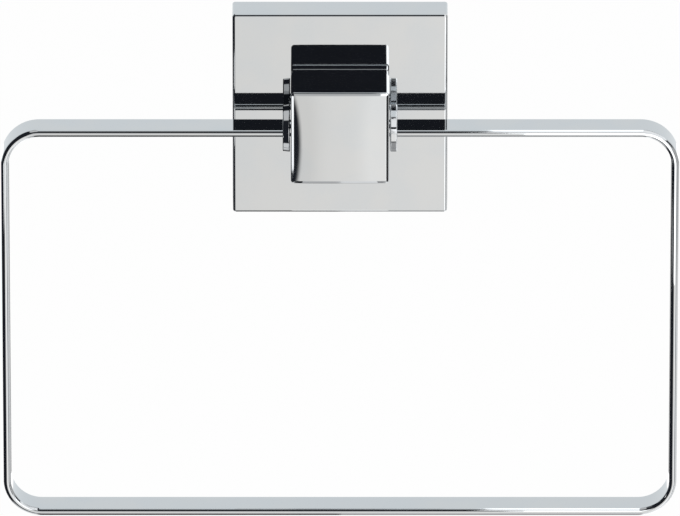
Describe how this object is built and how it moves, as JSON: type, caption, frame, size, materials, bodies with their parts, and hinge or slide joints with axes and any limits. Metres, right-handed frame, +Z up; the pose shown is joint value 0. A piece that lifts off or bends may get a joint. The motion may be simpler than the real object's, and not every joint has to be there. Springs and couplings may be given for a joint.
{
  "type": "towel ring",
  "caption": "Rectangular flat-strip towel ring that swings on two pivot hubs under a square post and square wall plate, in polished chrome.",
  "frame": {"origin": "centre of the wall plate's back, on the wall plane, midway between the two wall screw slots", "axes": "+Z up, -Y out of the wall towards the room, +Y into the wall, +X to the right for someone who faces the wall"},
  "size_m": [0.1588, 0.0228, 0.1234],
  "materials": {
    "chrome_plate": "polished",
    "zinc_plated_steel": "bright zinc",
    "bush_nylon": "matte"
  },
  "bodies": {
    "wall_fitting": {"wall_plate": "chrome_plate", "post": "chrome_plate", "left_bush": "bush_nylon", "right_bush": "bush_nylon", "post_screw": "zinc_plated_steel", "post_washer": "zinc_plated_steel", "wall_bracket": "zinc_plated_steel", "grub_screw": "zinc_plated_steel"},
    "swinging_ring": {"ring": "chrome_plate", "left_hub": "chrome_plate", "right_hub": "chrome_plate"}
  },
  "joints": [
    {"name": "ring_swing", "type": "hinge", "parent": "wall_fitting", "child": "swinging_ring", "pos_m": [0, -0.0157, -0.00025], "axis": [-1, 0, 0], "range_deg": [-6.5, 186.5]}
  ]
}
